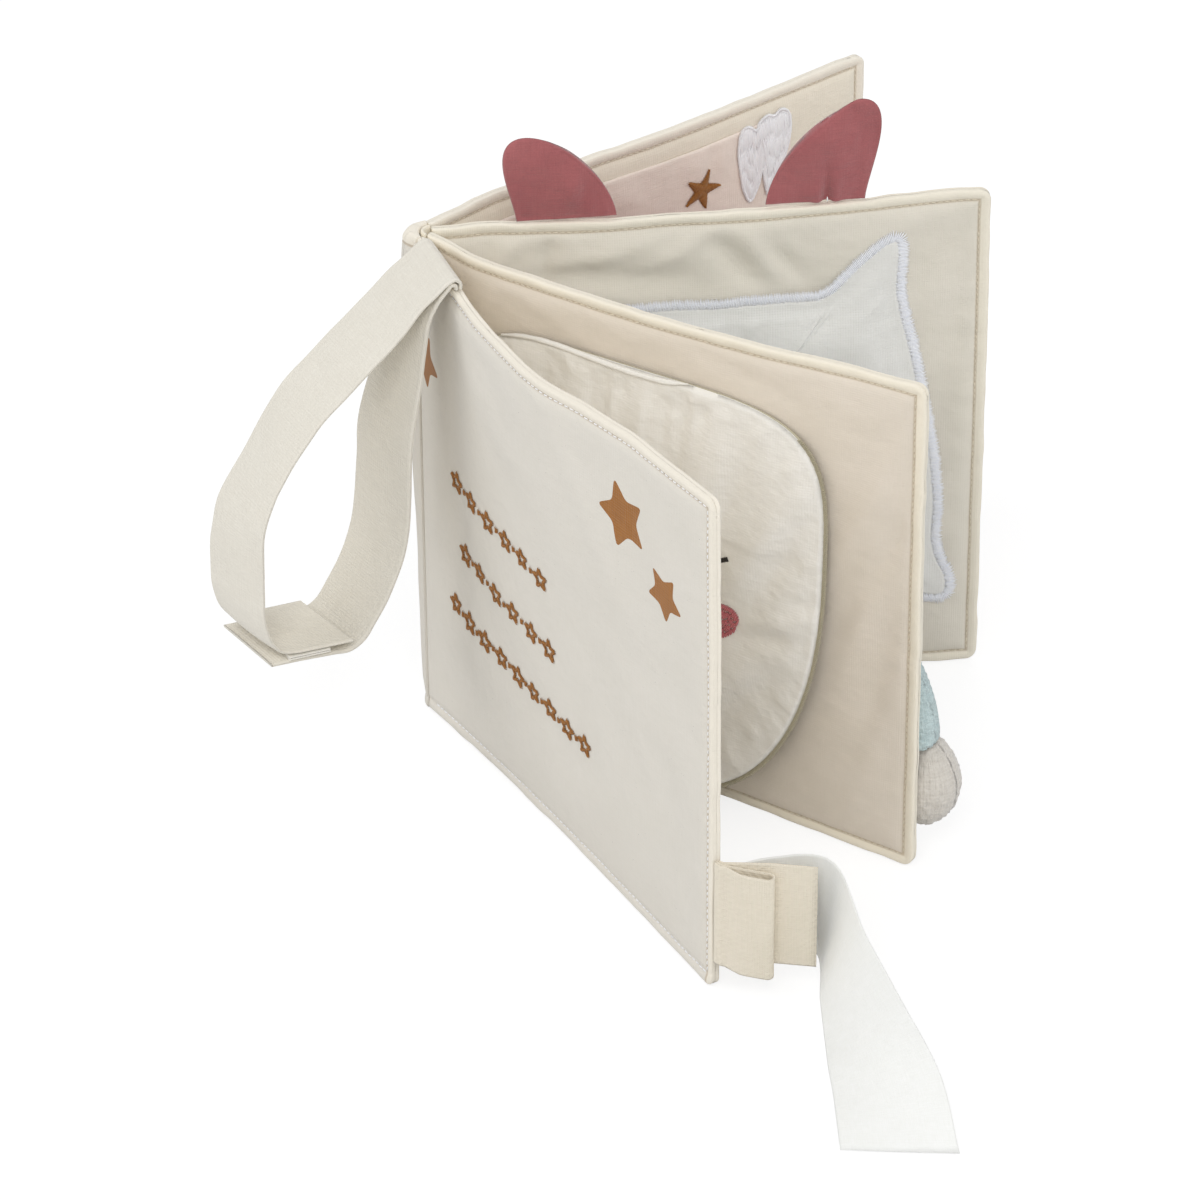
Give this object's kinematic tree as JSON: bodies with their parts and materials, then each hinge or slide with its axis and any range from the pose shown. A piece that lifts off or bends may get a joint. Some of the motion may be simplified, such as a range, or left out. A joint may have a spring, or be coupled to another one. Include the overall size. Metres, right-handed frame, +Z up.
{
  "type": "cloth activity book",
  "caption": "Padded cloth book with four hinged leaves, a carry strap, a lift-up flap, stuffed ears and a dangling leg, standing fanned open.",
  "frame": {"origin": "in the foot of the spine cover's cloth, midway round its arc", "axes": "+Z up; +X along the middle of the fan, from the spine to the fore edges"},
  "size_m": [0.2616, 0.3524, 0.2161],
  "materials": {
    "cover_cotton": "plain woven cotton, off-white",
    "lining_cotton": "plain woven cotton, cream",
    "page_cotton": "plain woven cotton, warm beige",
    "second_page_cotton": "plain woven cotton, pale grey-green",
    "panel_cotton": "plain woven cotton, pinkish beige",
    "white_wadding": "polyester wadding",
    "crinkle_film": "thin clear crinkle film",
    "strap_twill": "cotton twill tape",
    "hook_tape": "hook and loop tape",
    "label_tape": "cream cotton tape",
    "label_satin": "white woven satin ribbon",
    "flap_cotton": "crinkled cotton",
    "flap_lining": "olive-grey cotton",
    "pillow_cotton": "soft white cotton",
    "satin_border": "satin-stitched cord, lilac white",
    "rose_cotton": "dusty rose cotton jersey",
    "blue_knit": "pale blue rib knit",
    "white_plush": "short white plush",
    "white_thread": "raised white embroidery"
  },
  "bodies": {
    "back_cover": {"back_cover_lining": "lining_cotton", "back_cover_outer_panel": "cover_cotton", "back_cover_wadding": "white_wadding", "back_cover_crinkle_film": "crinkle_film", "spine_cover": "cover_cotton", "inset_panel": "panel_cotton", "cloud_motif": "white_thread"},
    "second_page": {"second_page_front_panel": "second_page_cotton", "second_page_back_panel": "page_cotton", "second_page_wadding": "white_wadding", "second_page_crinkle_film": "crinkle_film", "folio_fold": "page_cotton", "pillow_cover": "pillow_cotton", "pillow_filling": "white_wadding", "pillow_border": "satin_border", "head_patch": "rose_cotton", "head_padding": "white_wadding"},
    "first_page": {"first_page_front_panel": "page_cotton", "first_page_back_panel": "second_page_cotton", "first_page_wadding": "white_wadding", "first_page_crinkle_film": "crinkle_film", "knit_patch": "blue_knit"},
    "front_cover": {"front_cover_outer_panel": "cover_cotton", "front_cover_lining": "lining_cotton", "front_cover_wadding": "white_wadding", "front_cover_crinkle_film": "crinkle_film"},
    "strap": {"strap_inner_half": "strap_twill", "strap_loop_tape": "hook_tape"},
    "strap_end": {"strap_outer_half": "strap_twill", "strap_hook_tape": "hook_tape"},
    "labels": {"loop_label": "label_tape", "short_label": "label_tape", "long_label": "label_satin"},
    "face_flap": {"face_flap_front": "flap_cotton", "face_flap_film": "crinkle_film", "face_flap_lining": "flap_lining"},
    "leg": {"knit_leg": "blue_knit", "plush_paw": "white_plush"},
    "left_ear": {"left_ear": "rose_cotton"},
    "right_ear": {"right_ear": "rose_cotton"}
  },
  "joints": [
    {"name": "second_page_hinge", "type": "hinge", "parent": "back_cover", "child": "second_page", "pos_m": [0.00389, 0.00331, 0], "axis": [0, 0, -1], "range_deg": [-23, 133], "deforming": ["spine_cover"]},
    {"name": "first_page_hinge", "type": "hinge", "parent": "second_page", "child": "first_page", "pos_m": [0.00494, -0.00003, 0], "axis": [0, 0, 1], "range_deg": [-112, 24], "deforming": ["folio_fold"]},
    {"name": "front_cover_hinge", "type": "hinge", "parent": "first_page", "child": "front_cover", "pos_m": [0.0037, -0.00331, 0], "axis": [0, 0, -1], "range_deg": [-14, 115]},
    {"name": "strap_hinge", "type": "hinge", "parent": "front_cover", "child": "strap", "pos_m": [0.00784, -0.0113, 0.1806], "axis": [-0.5275, 0.8496, 0], "range_deg": [0, 105]},
    {"name": "strap_end_hinge", "type": "hinge", "parent": "strap", "child": "strap_end", "pos_m": [0.00784, -0.0113, 0.1806], "axis": [-0.5275, 0.8496, 0], "range_deg": [0, 50]},
    {"name": "labels_hinge", "type": "hinge", "parent": "front_cover", "child": "labels", "pos_m": [0.12114, -0.14012, 0], "axis": [0, 0, 1], "range_deg": [-20, 18]},
    {"name": "leg_hinge", "type": "hinge", "parent": "first_page", "child": "leg", "pos_m": [0.13413, -0.04292, 0.101], "axis": [-0.9348, 0.3551, 0], "range_deg": [-55, 0]},
    {"name": "left_ear_hinge", "type": "hinge", "parent": "second_page", "child": "left_ear", "pos_m": [0.04542, 0.01457, 0.1806], "axis": [0.9537, 0.3007, 0], "range_deg": [-32, 35], "stiffness_Nm_per_rad": 0.01},
    {"name": "right_ear_hinge", "type": "hinge", "parent": "second_page", "child": "right_ear", "pos_m": [0.12124, 0.03847, 0.1806], "axis": [0.9537, 0.3007, 0], "range_deg": [-32, 35], "stiffness_Nm_per_rad": 0.01},
    {"name": "face_flap_hinge", "type": "hinge", "parent": "first_page", "child": "face_flap", "pos_m": [0.07721, -0.03788, 0.1605], "axis": [-0.9348, 0.3551, 0], "range_deg": [-2.5, 20]}
  ],
  "couplings": [
    {"joint": "face_flap_hinge", "follows": "front_cover_hinge", "ratio": 0.17}
  ]
}
